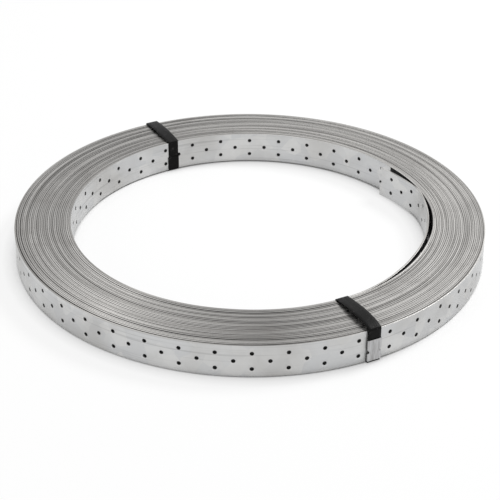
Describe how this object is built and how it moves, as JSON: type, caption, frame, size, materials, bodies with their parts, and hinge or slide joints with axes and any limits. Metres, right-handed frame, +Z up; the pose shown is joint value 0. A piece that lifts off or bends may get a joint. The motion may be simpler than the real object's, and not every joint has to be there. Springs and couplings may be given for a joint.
{
  "type": "steel anchor strap roll",
  "caption": "Flat-lying roll of perforated galvanised steel anchor strap with a free inner end, tied by two black packing bands, one closed with a crimped metal seal.",
  "frame": {"origin": "on the roll's axis at the floor, under the packing bands", "axes": "+Z up along the roll's axis; -Y towards the side the front band and seal are on, 62 degrees below +X; +X right seen from -Y"},
  "size_m": [0.58, 0.58, 0.0478],
  "materials": {
    "galvanised_steel": "dull galvanised",
    "black_band": "satin, finely embossed",
    "seal_steel": "plain"
  },
  "bodies": {
    "root": {"strap_coil": "galvanised_steel", "binding_band_front": "black_band", "band_seal_front": "seal_steel", "binding_band_back": "black_band"}
  },
  "joints": []
}
